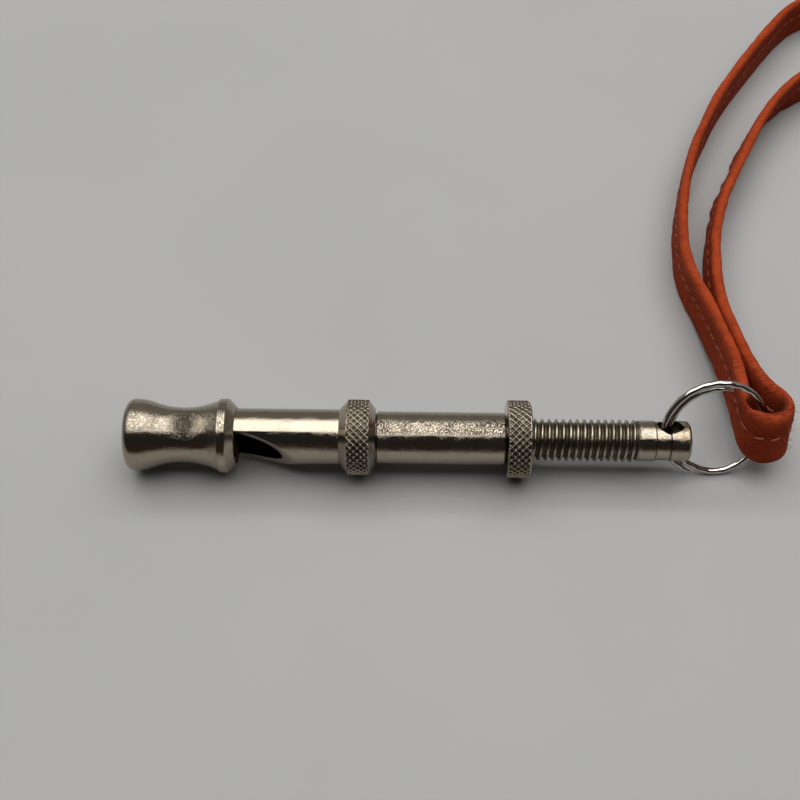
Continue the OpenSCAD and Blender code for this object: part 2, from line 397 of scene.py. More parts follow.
def nickel(name, rough, grain, pits=0.0, brass=0.0, dull=0.3, specks=0.0, relief=None, bore=None,
           grooves=(), worn=None, gilt=None, plate=NICKEL, stained=NICKEL_DULL):
    """Nickel plating over brass.

    grain is the depth of its fine unevenness, pits the share of dark pits, brass the amount worn through
    and specks the share of dark specks, pitting painted only in the band where the overhead highlight
    falls, so partly painted shade. Grime with painted shade fills the low part of the relief, and painted
    shade darkens what is inside the bore's radius and the grooves, each a pair of stations. worn is the
    middle of a patch rubbed rough and gilt of a patch rubbed to the brass, each a station, a y and a height
    over the axis.
    """
    s = Shader(name)
    stain = s.between(s.cloud(2.6, 4.0, 0.6), 0.42, 0.72, 0.0, dull)
    colour = s.blend(stain, plate, stained)
    normal = s.bump(s.cloud(0.12, 1.0, 0.5, stretch=(1.0, 0.02, 0.02)), 0.002)
    patches = s.between(s.cloud(2.2, 2.0), 0.35, 0.65, 0.35, 1.0)
    normal = s.bump(s.times(s.cloud(0.20, 3.0, 0.65), patches), grain, below=normal)
    roughness = s.between(s.cloud(0.7, 3.0, 0.7), 0.3, 0.75, rough * 0.7, rough * 1.3)
    if pits:
        spots = s.between(s.cells(0.75), 0.0, 0.16, 1.0, 0.0)
        chosen = s.between(s.cloud(1.1, 1.0), 0.62 - 0.14 * pits, 0.66 - 0.14 * pits)
        pit = s.times(spots, chosen)
        colour = s.blend(pit, colour, GRIME_AND_SHADE)
        normal = s.bump(s.times(pit, -1.0), 0.03, below=normal)
        roughness = s.sums("ADD", roughness, s.times(pit, 0.4))
    if brass:
        bare = s.between(s.cloud(1.7, 4.0, 0.65), 0.72 - 0.08 * brass, 0.76 - 0.08 * brass)
        colour = s.blend(bare, colour, BRASS)
    if specks or worn:
        specking = s.cloud(0.23, 3.0, 0.75)
        speck = s.between(specking, 0.44, 0.52)
        # the dark specks stand for pitting, but facing() keeps them to the band where the overhead
        # highlight falls, so they are painted shade that breaks up the highlight
        share = s.between(s.facing(10), 0.930, 0.970, 0.0, specks)
        share = s.times(share, s.between(s.cloud(2.4, 3.0), 0.35, 0.60, 0.55, 1.0))
        speckled = s.times(speck, share)
        if worn:
            patch = s.times(s.near(worn, 2.8), s.between(specking, 0.36, 0.48))
            speckled = s.sums("MAXIMUM", speckled, patch)
            normal = s.bump(patch, -0.03, below=normal)
        colour = s.blend(speckled, colour, SPECK)
        normal = s.bump(speckled, -0.012, below=normal)
        roughness = s.sums("ADD", roughness, s.times(speckled, 0.08))
    if gilt:
        glint = s.times(s.near(gilt, 1.4), s.between(s.cloud(0.30, 3.0, 0.65), 0.53, 0.60))
        colour = s.blend(glint, colour, BRASS)
        normal = s.bump(glint, -0.03, below=normal)
    # grime in the hollows of the knurl and the thread, darkened beyond that as painted shade
    if relief:
        low = s.between(s.attribute("relief"), *relief, 1.0, 0.0)
        grime_and_hollow_shade = s.times(low, s.between(s.cloud(1.0), 0.3, 0.6, 0.7, 1.0))
        colour = s.blend(grime_and_hollow_shade, colour, GRIME_AND_SHADE)
        roughness = s.sums("ADD", roughness, s.times(grime_and_hollow_shade, 0.35))
    # painted shade inside the bore, where little light gets in
    if bore:
        colour = s.blend(s.between(s.radius(), bore * MM, (bore + 0.08) * MM, 0.9, 0.0), colour, GRIME_AND_SHADE)
    # painted shade in the grooves, the dark line of shadow at each step
    for start, end in grooves:
        groove = s.near_station((start + end) / 2, (end - start) / 2)
        colour = s.blend(s.times(groove, 0.75), colour, GRIME_AND_SHADE)
    s.set(Base_Color=colour, Metallic=1.0, Roughness=roughness, Normal=normal)
    return s.material


def bare_brass(name):
    """Bare turned brass, dark with tarnish."""
    s = Shader(name)
    tarnish = s.between(s.cloud(1.5, 4.0, 0.6), 0.4, 0.7, 0.0, 0.8)
    lines = s.cloud(0.1, 1.0, 0.5, stretch=(1.0, 0.03, 0.03))
    roughness = s.between(s.cloud(0.6, 3.0), 0.3, 0.7, 0.35, 0.55)
    colour = s.blend(tarnish, (0.16, 0.10, 0.04), (0.06, 0.04, 0.02))
    s.set(Base_Color=colour, Metallic=1.0, Roughness=roughness, Normal=s.bump(lines, 0.004))
    return s.material


LEATHER = (0.345, 0.045, 0.011)
LEATHER_DARK = (0.092, 0.011, 0.005)
LEATHER_RUBBED_LIT = (0.43, 0.068, 0.018)
# painted shade, for the bight's inner face and the wrinkles' creases
LEATHER_SHADE = (0.060, 0.010, 0.006)
EDGE_DARK = (0.05, 0.010, 0.005)
EDGE_LIGHT = (0.22, 0.06, 0.03)
THREAD = (0.33, 0.080, 0.028)
THREAD_DARK = (0.17, 0.026, 0.010)
FIBRE_LIGHT = (0.48, 0.15, 0.06)
FIBRE_DARK = (0.30, 0.06, 0.02)


def leather(name):
    """Dyed soft leather: pebbled grain, creases, a rubbed fold with a painted highlight, a raw cut edge,
    and painted shade in the wrinkles and inside the bight.
    """
    s = Shader(name)
    patches = s.between(s.cloud(6.0, 3.0, 0.6), 0.35, 0.7)
    mottle = s.between(s.cloud(0.9, 4.0, 0.65), 0.35, 0.68)
    colour = s.blend(s.times(patches, 0.45), LEATHER, LEATHER_DARK)
    colour = s.blend(s.times(mottle, 0.30), colour, LEATHER_DARK)
    speckle = s.between(s.cloud(0.20, 3.0, 0.7), 0.38, 0.62)
    colour = s.blend(s.times(speckle, 0.40), colour, LEATHER_DARK)
    # the fold on top is lighter: rubbed wear, and a painted highlight where it faces the overhead light
    rub_and_highlight = s.attribute("rub_and_highlight")
    rubbed = s.times(rub_and_highlight, s.between(s.cloud(1.3, 4.0, 0.6), 0.35, 0.65, 0.15, 0.6))
    colour = s.blend(rubbed, colour, LEATHER_RUBBED_LIT)
    raw = s.attribute("raw")
    fibres = s.blend(s.cloud(0.18, 3.0, 0.7), EDGE_DARK, EDGE_LIGHT)
    colour = s.blend(s.times(raw, 0.75), colour, fibres)
    # painted shade on the inner face of the bight round the ring
    inside = s.attribute("inside")
    colour = s.blend(s.times(inside, 0.8), colour, LEATHER_SHADE)
    pebbles = s.cells(0.42, feature="SMOOTH_F1")
    creases = s.cells(1.5, feature="DISTANCE_TO_EDGE", stretch=(1.0, 1.0, 0.7))
    bent = s.attribute("bent")
    wrinkles = s.cells(1.6, feature="DISTANCE_TO_EDGE", stretch=(0.45, 1.5, 0.45))
    wrinkles = s.between(wrinkles, 0.0, 0.08, 1.0, 0.0)
    wrinkled = s.times(bent, s.times(wrinkles, s.between(s.cloud(2.4), 0.42, 0.60)))
    wrinkled = s.times(wrinkled, s.between(rub_and_highlight, 0.0, 1.0, 0.30, 1.0))
    # painted shade in the creases of the wrinkles
    colour = s.blend(s.times(wrinkled, 0.70), colour, LEATHER_SHADE)
    normal = s.bump(s.between(pebbles, 0.0, 0.6), -0.035)
    normal = s.bump(s.between(creases, 0.0, 0.09), 0.03, below=normal)
    normal = s.bump(wrinkled, -0.09, below=normal)
    normal = s.bump(s.cloud(0.26, 4.0, 0.75), 0.13, below=normal)
    roughness = s.between(s.cloud(1.2, 3.0), 0.3, 0.7, 0.60, 0.80)
    s.set(Base_Color=colour, Roughness=roughness, Normal=normal, Specular_IOR_Level=0.05)
    return s.material


def thread(name, light, dark):
    """Twisted sewing thread, or loose fibres."""
    s = Shader(name)
    strands = s.cloud(0.1, 2.0)
    colour = s.blend(s.between(strands, 0.35, 0.65), light, dark)
    s.set(Base_Color=colour, Roughness=0.7, Normal=s.bump(strands, 0.03))
    return s.material


def tabletop(name):
    """A plain pale plastic surface with faint marks."""
    s = Shader(name)
    drift = s.between(s.cloud(60.0, 3.0), 0.3, 0.7)
    colour = s.blend(drift, (0.358, 0.358, 0.355), (0.378, 0.377, 0.374))
    normal = s.bump(s.cloud(0.8, 3.0, 0.6), 0.01)
    roughness = s.between(s.cloud(14.0, 4.0), 0.3, 0.7, 0.42, 0.55)
    s.set(Base_Color=colour, Roughness=roughness, Normal=normal, Specular_IOR_Level=0.0)
    return s.material


MOUTHPIECE_METAL = nickel(
    "nickel_smooth", rough=0.10, grain=0.040, pits=0.6, brass=0.5, specks=0.68, bore=3.3,
    worn=(8.6, -0.9, 3.9))
TUBE_METAL = nickel("nickel_bright", rough=0.085, grain=0.045, pits=0.25, specks=0.10, bore=3.2)
BARREL_METAL = nickel(
    "nickel_pitted", rough=0.085, grain=0.045, pits=1.0, brass=0.2, specks=1.0, bore=3.2,
    grooves=[(35.4, 35.7)])
KNURL_METAL = nickel("nickel_knurled", rough=0.14, grain=0.012, relief=(0.0, 0.9))
SCREW_METAL = nickel(
    "nickel_screw", rough=0.10, grain=0.045, brass=0.3, specks=0.40, relief=(0.0, 0.8),
    grooves=[(74.9, 75.14), (76.96, 77.2)], gilt=(79.2, -0.9, 2.8))
RING_METAL = nickel(
    "ring_steel", rough=0.10, grain=0.006, dull=0.10, plate=(0.56, 0.53, 0.48), stained=(0.35, 0.33, 0.29))
BRASS_METAL = bare_brass("brass_bare")
STRAP_LEATHER = leather("orange_leather")
STITCH_THREAD = thread("stitch_thread", THREAD, THREAD_DARK)
FIBRE = thread("leather_fibre", FIBRE_LIGHT, FIBRE_DARK)


# ---------------- lanyard

STRAP_WIDTH = 7.5
STRAP_THICKNESS = 1.6
LANYARD_LENGTH = 900.0
LIE = 3.8
# route of the strap's middle: x, y, height and the backward lean of the standing strap as a slope
ROUTE_A = [
    (132.5, 94.6, LIE, 0), (124, 98.6, LIE, 0), (114.5, 102.8, LIE, 0), (104, 106.3, LIE, 0),
    (93, 108, LIE, 0), (82, 107, LIE, 0), (73.2, 102.2, LIE, 0), (67.1, 94.5, LIE, 0), (61, 85.4, LIE, 0),
    (55.5, 76.4, LIE, 0), (51.3, 67.5, LIE, 0), (48.1, 59.6, LIE, 0), (46.3, 53, LIE, 0),
    (45.1, 47.3, LIE, 0), (44.3, 41.5, LIE, 0), (44, 36.5, LIE, 0), (44.6, 31.5, LIE, 0),
    (45.6, 27.3, 4.1, 0.02), (46.4, 22.7, 4.7, 0.06),
    (47.1, 18.2, 5.3, 0.12), (47.7, 13.8, 5.9, 0.2), (47.9, 10, 6.5, 0.28), (47.9, 7, 6.9, 0.35)]
ROUTE_BIGHT = [
    (47.9, 4.2, 7.2, 0.4), (48, 1.9, 7.3, 0.4), (48.9, 0, 7.3, 0.4), (50.6, -0.7, 7.3, 0.4),
    (52.2, -0.3, 7.3, 0.4), (53.5, 0.8, 7.3, 0.4), (53.9, 2.3, 7.3, 0.4)]
ROUTE_B = [
    (53.3, 3.7, 7.2, 0.4), (52.1, 5, 7.1, 0.38), (51, 7, 6.9, 0.35), (50.2, 9.8, 6.5, 0.28),
    (49.5, 13.8, 5.9, 0.2), (48.9, 18.4, 5.3, 0.12), (48.3, 22.5, 4.7, 0.06), (48.2, 26.5, 4.1, 0.02),
    (48.3, 31, LIE, 0), (48.8, 36, LIE, -0.05), (49.5, 40.8, LIE, -0.1), (50.6, 45.2, LIE, -0.2),
    (52.4, 50.8, 3.6, -0.35), (54.6, 56, 3.5, -0.45), (57, 61.2, 3.4, -0.5), (59.4, 66.2, 3.4, -0.5),
    (62.3, 71.5, 3.5, -0.4), (66.3, 77, 3.7, -0.25), (71, 81.5, LIE, -0.1), (78.5, 86.3, LIE, 0),
    (87.5, 89.2, LIE, 0), (96.5, 90.6, LIE, 0), (105, 91.3, LIE, 0)]
# the lanyard's line starts at this point of the bight
BIGHT_FRONT = 3

coil_low, coil_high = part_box("lanyard_coil")
COIL_CENTRE = ((coil_low.x + coil_high.x) / 2 / MM, (coil_low.y + coil_high.y) / 2 / MM)
LANE = 3.0
COIL_STEP = math.radians(6)
# over this much of the inner run it moves in to meet the round bend
COIL_MERGE = math.radians(28)
BEND_STEPS = 8


def coil_point(radius, angle):
    x = COIL_CENTRE[0] + radius * math.cos(angle)
    y = COIL_CENTRE[1] + radius * math.sin(angle)
    return (x, y, LIE, 0)


def coil_points(turns):
    """The stored stretch, from the end of ROUTE_B round to the start of ROUTE_A.

    Both runs wind inwards side by side, one lane apart, and meet in a round bend.
    """
    ends = [(p[0] - COIL_CENTRE[0], p[1] - COIL_CENTRE[1]) for p in (ROUTE_A[0], ROUTE_B[-1])]
    enter = [math.atan2(y, x) for x, y in ends]
    radii = [math.hypot(y, x) for x, y in ends]
    end = enter[0] - turns * TURN

    def outer(angle):
        return radii[0] - 2 * LANE * (enter[0] - angle) / TURN

    points = []
    angle = enter[1] - COIL_STEP
    while angle > end + COIL_STEP / 2:
        entering = smooth_step(enter[0], enter[1], angle)
        leaving = smooth_step(end + COIL_MERGE, end, angle)
        inner = outer(angle) - LANE * (1 + leaving)
        points.append(coil_point(inner + entering * (radii[1] - inner), angle))
        angle -= COIL_STEP
    middle = outer(end) - LANE
    for k in range(BEND_STEPS + 1):
        bend = math.pi * k / BEND_STEPS
        x, y, _, _ = coil_point(middle - LANE * math.cos(bend), end)
        reach = LANE * math.sin(bend)
        points.append((x + reach * math.sin(end), y - reach * math.cos(end), LIE, 0))
    angle = end + COIL_STEP
    while angle < enter[0] - COIL_STEP / 2:
        points.append(coil_point(outer(angle), angle))
        angle += COIL_STEP
    return points


def spline(points, step):
    """A smooth closed line through the points, with a point about every step."""
    p = np.array(points, float)
    before, after, later = np.roll(p, 1, 0), np.roll(p, -1, 0), np.roll(p, -2, 0)
    dense = []
    for a, b, c, d in zip(before, p, after, later):
        # centripetal Catmull-Rom, so that uneven spacing makes no bumps
        t1 = np.linalg.norm(b - a) ** 0.5
        t2 = t1 + np.linalg.norm(c - b) ** 0.5
        t3 = t2 + np.linalg.norm(d - c) ** 0.5
        for t in np.linspace(t1, t2, 12, endpoint=False):
            a1 = (t1 - t) / t1 * a + t / t1 * b
            a2 = (t2 - t) / (t2 - t1) * b + (t - t1) / (t2 - t1) * c
            a3 = (t3 - t) / (t3 - t2) * c + (t - t2) / (t3 - t2) * d
            b1 = (t2 - t) / t2 * a1 + t / t2 * a2
            b2 = (t3 - t) / (t3 - t1) * a2 + (t - t1) / (t3 - t1) * a3
            dense.append((t2 - t) / (t2 - t1) * b1 + (t - t1) / (t2 - t1) * b2)
    dense = np.array(dense + [dense[0]])
    along = np.concatenate([[0], np.cumsum(np.linalg.norm(np.diff(dense[:, :3], axis=0), axis=1))])
    count = round(along[-1] / step)
    spots = np.linspace(0, along[-1], count, endpoint=False)
    line = np.column_stack([np.interp(spots, along, dense[:, k]) for k in range(4)])
    return line, along[-1]


def lanyard_line(turns, step):
    """The strap's whole line for that many turns in the coil, and its length."""
    first = ROUTE_BIGHT[BIGHT_FRONT:] + ROUTE_B
    last = ROUTE_A + ROUTE_BIGHT[:BIGHT_FRONT]
    return spline(first + coil_points(turns) + last, step)


def stored_turns():
    """The number of turns that gives the lanyard its real length."""
    low, high = 0.8, 1.3
    for _ in range(14):
        middle = (low + high) / 2
        if lanyard_line(middle, 4.0)[1] < LANYARD_LENGTH:
            low = middle
        else:
            high = middle
    return (low + high) / 2


def relaxed(line, rounds):
    """The line with its small corners smoothed away."""
    for _ in range(rounds):
        line = (np.roll(line, 1, 0) + 2 * line + np.roll(line, -1, 0)) / 4
    return line


STRAP_STEP = 0.5
turns = stored_turns()
strap_line, strap_length = lanyard_line(turns, STRAP_STEP)
strap_line = relaxed(strap_line, 6)

STITCH_PITCH = 2.3
STITCH_HEIGHT = 0.35
FOLD_RADIUS = STRAP_THICKNESS / 2
SEAM_DEPTH = 0.45


def strap_section():
    """Points round the folded strap: across, up, share of the top fold that is rubbed and painted lighter
    as a highlight, share of the cut edge.

    The two layers are one fold at the top, pinched together along the stitching, and end in two cut edges.
    """
    half = STRAP_WIDTH / 2
    side = []
    for k in range(5):
        lift = k / 4
        side.append((STRAP_THICKNESS / 2 * (0.80 + 0.16 * min(1, 3 * lift)), -half + 0.12 + 0.5 * lift))
    for height in (-2.4, -1.5, -0.6, 0.0, STITCH_HEIGHT, 0.75, 1.3, 2.0):
        pinch = math.exp(-((height - STITCH_HEIGHT) / 0.45) ** 2)
        side.append((STRAP_THICKNESS / 2 * (0.96 + 0.05 * (height > 0.8) - 0.14 * pinch), height))
    fold = []
    for k in range(9):
        bend = math.pi * k / 8
        fold.append((FOLD_RADIUS * math.cos(bend), half - FOLD_RADIUS + FOLD_RADIUS * math.sin(bend)))
    lip = -half + 0.05
    edge = [(-0.55, -half), (-0.14, lip), (0.0, -half + SEAM_DEPTH), (0.14, lip), (0.55, -half)]
    outline = side + fold + [(-x, y) for x, y in reversed(side)] + edge
    rows = []
    for across, up in outline:
        rub_and_highlight = float(smooth_step(half - 1.6, half - 0.4, up))
        raw = float(smooth_step(-half + 0.5, -half + 0.15, up))
        rows.append((across, up, rub_and_highlight, raw))
    return rows


def strap_axes(line):
    """For each point of the line: the direction along, across to the outer side, and up the strap."""
    along = np.roll(line[:, :3], -1, 0) - np.roll(line[:, :3], 1, 0)
    along[:, 2] = 0
    along /= np.linalg.norm(along, axis=1)[:, None]
    # the line runs ring, route B, coil, route A, so its outer side is on the right
    across = np.column_stack([along[:, 1], -along[:, 0], np.zeros(len(line))])
    up = np.column_stack([np.zeros(len(line)), line[:, 3], np.ones(len(line))])
    up /= np.linalg.norm(up, axis=1)[:, None]
    return along, across, up


# the split ring, which the strap is pressed clear of: its two strands run at two radii
WIRE = 0.95
RING_LEAN = 24
RING_TURN = 5
ring_low, ring_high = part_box("split_ring")
# the wire lies on the floor, a little lower than the closed double ring does
RING_DROP = 0.17
RING_JOINT = (ring_low + ring_high) / 2
RING_CENTRE = RING_JOINT - Vector((0, 0, RING_DROP * MM))
RING_RADIUS = 7.35
INNER_RADIUS = RING_RADIUS - WIRE * 0.96
RING_TILT = Matrix.Rotation(math.radians(90 - RING_LEAN), 4, "X")
RING_TILT = Matrix.Rotation(math.radians(RING_TURN), 4, "Z") @ RING_TILT
# the groove's floor reaches this far each side of the ring's plane, and its slopes end at the edge
GROOVE_HALF = 0.82
GROOVE_EDGE = 1.30
GROOVE_ROOM_IN = 0.10
GROOVE_ROOM_OUT = 0.05
# distances along the strap from the ring over which the painted shade on the inner face and the wrinkles
# die away
BIGHT_SHADE_FADE = (4.5, 8.0)
BENT_FADE = (10, 26)


def pressed(spot):
    """The spot in mm, moved out of the way of all that the split ring's strands sweep as the ring turns."""
    offset = Vector(spot) - RING_JOINT / MM
    normal = RING_TILT.to_3x3() @ Vector((0, 0, 1))
    aside = offset.dot(normal)
    outward = offset - normal * aside
    radius = outward.length
    inner = INNER_RADIUS - WIRE / 2 - RING_DROP - GROOVE_ROOM_IN
    outer = RING_RADIUS + WIRE / 2 + RING_DROP + GROOVE_ROOM_OUT
    if abs(aside) > GROOVE_EDGE or not inner < radius < outer:
        return Vector(spot)
    clear = inner if radius < (inner + outer) / 2 else outer
    share = 1 - float(smooth_step(GROOVE_HALF, GROOVE_EDGE, abs(aside)))
    return Vector(spot) + outward * ((clear - radius) / radius * share)


def make_strap():
    """The folded leather strap as one closed loop, with its buckles, its stitch dents and its grooves."""
    section = strap_section()
    along, across, up = strap_axes(strap_line)
    lengths = np.arange(len(strap_line)) * strap_length / len(strap_line)
    points, rub_and_highlights, raws, bight_shades, bends = [], [], [], [], []
    for i, base in enumerate(strap_line[:, :3]):
        stitch_phase = 0.5 + 0.5 * math.cos(TURN * lengths[i] / STITCH_PITCH)
        from_ring = min(lengths[i], strap_length - lengths[i])
        inside = 1 - float(smooth_step(*BIGHT_SHADE_FADE, from_ring))
        bent = 1 - float(smooth_step(*BENT_FADE, from_ring))
        for q_across, q_up, rub_and_highlight, raw in section:
            spot = base + across[i] * q_across + up[i] * q_up
            slow = noise.noise(Vector(spot) / 7.0)
            quick = noise.noise(Vector(spot) / 1.8 + Vector((31, 7, 5)))
            outward = 1 if q_across > 0 else -1
            near_stitch = math.exp(-((q_up - STITCH_HEIGHT) / 0.6) ** 2)
            swell = (0.10 * slow + 0.10 * quick) * (1 - 0.8 * near_stitch)
            swell -= 0.10 * near_stitch * stitch_phase
            wave = 0.16 * noise.noise(Vector(base) / 9.0) * (1 if q_up > 0 else 0.3)
            if abs(q_across) < 0.5 and raw > 0:
                outward = 0
            # where the strap leans forward, its lower part buckles from side to side
            leaning = float(smooth_step(0.05, 0.4, -strap_line[i, 3]))
            buckle = 0.75 * leaning * max(0, -q_up) / STRAP_WIDTH * 2 * noise.noise(Vector(base) / 2.6)
            spot = spot + across[i] * (swell * outward + buckle) + up[i] * (wave - 0.05 * raw * abs(quick))
            points.append(pressed(spot) * MM)
            rub_and_highlights.append(rub_and_highlight)
            raws.append(raw)
            # the inner face near the ring gets painted shade
            bight_shades.append(inside if q_across < -0.3 else 0.0)
            bends.append(bent)
    faces = loop_faces(len(strap_line), len(section))
    strap = make_mesh("lanyard_strap_leather", points, faces, STRAP_LEATHER)
    for name, values in (("rub_and_highlight", rub_and_highlights), ("raw", raws), ("inside", bight_shades), ("bent", bends)):
        add_attribute(strap, name, values)
    return strap


def make_stitches():
    """Short slanted stitches along both faces of the strap."""
    along, across, up = strap_axes(strap_line)
    count = round(strap_length / STITCH_PITCH)
    thick, sides, rings = 0.16, 6, 6
    pick = random.Random(3)
    points, faces = [], []
    for k in range(count):
        i = round((k + 0.5) / count * len(strap_line)) % len(strap_line)
        for outward in (1, -1):
            length = pick.uniform(1.35, 1.95)
            face = STRAP_THICKNESS / 2 * 0.82 + 0.07
            centre = strap_line[i, :3] + across[i] * outward * face + up[i] * STITCH_HEIGHT
            line = along[i] + up[i] * outward * pick.uniform(0.04, 0.24)
            start = len(points)
            for ring in range(rings + 1):
                t = ring / rings * 2 - 1
                radius = thick * math.sqrt(max(0.02, 1 - t ** 4))
                sink = 0.16 * t ** 2
                middle = centre + line * (t * length / 2) - across[i] * outward * sink
                for side in range(sides):
                    turn = TURN * side / sides
                    spot = middle + across[i] * (0.8 * radius * math.cos(turn))
                    points.append((spot + up[i] * (radius * math.sin(turn))) * MM)
            faces += tube_faces(rings + 1, sides, start)
    return make_mesh("lanyard_stitching", points, faces, STITCH_THREAD)


FIBRE_COUNT = 70
# the first and last point of the strap's line that they grow from
FIBRE_ROOTS = (5, 16)


def make_fibres():
    """Loose fibres that stand off the outer face where the strap bends round the ring."""
    along, across, up = strap_axes(strap_line)
    pick = random.Random(5)
    sides, rings, thick = 3, 4, 0.030
    points, faces = [], []
    for _ in range(FIBRE_COUNT):
        i = pick.randint(*FIBRE_ROOTS)
        root = strap_line[i, :3] + across[i] * (STRAP_THICKNESS / 2 - 0.03)
        root = root + up[i] * pick.uniform(-3.4, 2.6)
        heading = across[i] + along[i] * pick.uniform(-0.7, 0.7) + up[i] * pick.uniform(-0.5, 0.9)
        bend = along[i] * pick.uniform(-0.5, 0.5) + up[i] * pick.uniform(-0.6, 0.6)
        length = pick.uniform(0.3, 1.15)
        start = len(points)
        for ring in range(rings + 1):
            t = ring / rings
            middle = root + heading * (length * t) + bend * (length * t * t)
            radius = thick * (1 - 0.7 * t)
            for side in range(sides):
                turn = TURN * side / sides
                spot = middle + along[i] * radius * math.cos(turn) + up[i] * radius * math.sin(turn)
                points.append(spot * MM)
        faces += tube_faces(rings + 1, sides, start)
    return make_mesh("lanyard_fibres", points, faces, FIBRE)


strap = make_strap()
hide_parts("lanyard_strap", "lanyard_coil")
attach(strap, "screw")
stitches = make_stitches()
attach(stitches, "screw")
fibres = make_fibres()
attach(fibres, "screw")


# ---------------- split ring

# the drawn wire is a little out of round, and that turns along it
RING_TWIST = 0.045
TWIST_PITCH = 2.0


def ring_wire(angle):
    """The wire's middle as a radius in the ring's plane and an offset from it, along one and a half turns.

    It starts as the inner strand, comes round to the outside and overlaps itself.
    """
    out = float(smooth_step(math.radians(235), math.radians(290), angle))
    radius = INNER_RADIUS + (RING_RADIUS - INNER_RADIUS) * out
    lift = 0.22 * float(smooth_step(math.radians(380), math.radians(450), angle))
    return radius, lift - 0.11


def make_ring():
    start, end = math.radians(72), math.radians(360 + 246)
    rings, sides = 840, 20
    pose = Matrix.Translation(RING_CENTRE) @ RING_TILT
    points = []
    for i in range(rings + 1):
        angle = start + (end - start) * i / rings
        radius, lift = ring_wire(angle)
        # the ends are ground to a slim tip
        tip = min(i, rings - i) / rings * (end - start) * RING_RADIUS
        slim = 0.35 + 0.65 * float(smooth_step(0, 2.2, tip))
        outward = Vector((math.cos(angle), math.sin(angle), 0))
        for k in range(sides):
            a = TURN * k / sides
            twisted = math.cos(2 * (a - angle * RING_RADIUS / TWIST_PITCH * math.pi))
            drawn = 1 + RING_TWIST * abs(math.sin(angle)) * twisted
            in_plane = radius + slim * WIRE / 2 * drawn * math.cos(a)
            aside = lift + WIRE / 2 * drawn * (0.5 + 0.5 * slim) * math.sin(a)
            spot = outward * in_plane + Vector((0, 0, aside))
            points.append(pose @ (spot * MM))
    ring = make_mesh("split_ring_wire", points, tube_faces(rings + 1, sides), RING_METAL, sharp=50)
    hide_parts("split_ring")
    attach(ring, "ring")


make_ring()


# ---------------- whistle

TUBE_START = 12.0
TUBE_END = 33.0
TUBE_OUTER = 3.95
TUBE_BORE = 3.15
BARREL_NECK = 3.5
TAPPED_BORE = 3.04


def arc(centre, radius, start, end, steps):
    """Points (station, radius) of an arc; the angle is measured from the mouth side up to the outside."""
    out = []
    for k in range(steps + 1):
        a = math.radians(start + (end - start) * k / steps)
        out.append((centre[0] - radius * math.cos(a), centre[1] + radius * math.sin(a)))
    return out


def make_mouthpiece():
    bead_at, bead = 1.2, 5.15
    waist_at, waist, curve = 8.0, 3.95, 12.0
    collar_at, collar_end, collar = 13.3, 14.45, 5.3
    end, lip, socket, inlet, plug_at = 15.6, 4.12, 3.97, 2.8, 4.0
    drop = bead - waist
    both = ((waist_at - bead_at) ** 2 + drop ** 2) / (2 * drop)
    bead_curve = both - curve
    meet = math.degrees(math.asin((waist_at - bead_at) / both))
    flank = math.degrees(math.asin((collar_at - waist_at) / curve))
    outline = [(0.25, inlet)]
    outline += arc((bead_at, bead - bead_at), bead_at, 14, 90, 14)
    outline += arc((bead_at, bead - bead_curve), bead_curve, 90 + meet / 6, 90 + meet, 6)
    for k in range(1, 27):
        a = math.radians(-meet + (meet + flank) * k / 26)
        outline.append((waist_at + curve * math.sin(a), waist + curve * (1 - math.cos(a))))
    outline += [(collar_at + 0.05, collar), (collar_end, collar), (end, lip), (end, socket)]
    outline += [(TUBE_START, socket), (TUBE_START, TUBE_BORE), (plug_at, TUBE_BORE), (plug_at, inlet)]
    piece = turned("mouthpiece_shell", soften(outline, 0.12), MOUTHPIECE_METAL, 256, sharp=40)
    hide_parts("mouthpiece")
    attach(piece, "whistle_body")


WINDOW_TILT = math.radians(8)
WINDOW_FLOOR = 1.2
WINDOW_END = 23.9
WINDOW_HOLLOW = 1.5


def window_cutter():
    """A wedge with a hollow ramp, which takes everything above the sound window away."""
    start, reach, steps, half_width = 15.6, 3.0, 12, 8
    rise = TUBE_OUTER - WINDOW_FLOOR
    end_slope = rise * WINDOW_HOLLOW / (WINDOW_END - start)
    top = TUBE_OUTER + end_slope * reach
    profile = [(start - 0.5, WINDOW_FLOOR)]
    for k in range(steps + 1):
        t = k / steps
        profile.append((start + (WINDOW_END - start) * t, WINDOW_FLOOR + rise * t ** WINDOW_HOLLOW))
    profile += [(WINDOW_END + reach, top), (start - 0.5, top)]
    height = Vector((0, -math.cos(WINDOW_TILT), -math.sin(WINDOW_TILT)))
    side = Vector((1, 0, 0)).cross(height)
    points = []
    for across in (-half_width, half_width):
        for station, up in profile:
            place = Vector((MOUTH_X, 0, AXIS_Z)) + Vector((station * MM, 0, 0))
            points.append(place + height * up * MM + side * across * MM)
    count = len(profile)
    faces = [tuple(range(count)), tuple(range(2 * count - 1, count - 1, -1))]
    faces += [(k, k + count, (k + 1) % count + count, (k + 1) % count) for k in range(count)]
    return make_mesh("window_cutter", points, faces, TUBE_METAL)


def make_front_tube():
    outline = [
        (TUBE_START, TUBE_OUTER), (TUBE_END, TUBE_OUTER), (TUBE_END, TUBE_BORE), (TUBE_START, TUBE_BORE)]
    piece = turned("front_tube_shell", soften(outline, 0.08), TUBE_METAL, 256)
    cut_away(piece, window_cutter(), 0.07)
    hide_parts("front_tube")
    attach(piece, "whistle_body")


KNURL_STARTS = 34
KNURL_PITCH = 1.0
KNURL_DEPTH = 0.30
KNURL_ROW = 0.07
KNURL_SEGMENTS = 14 * KNURL_STARTS


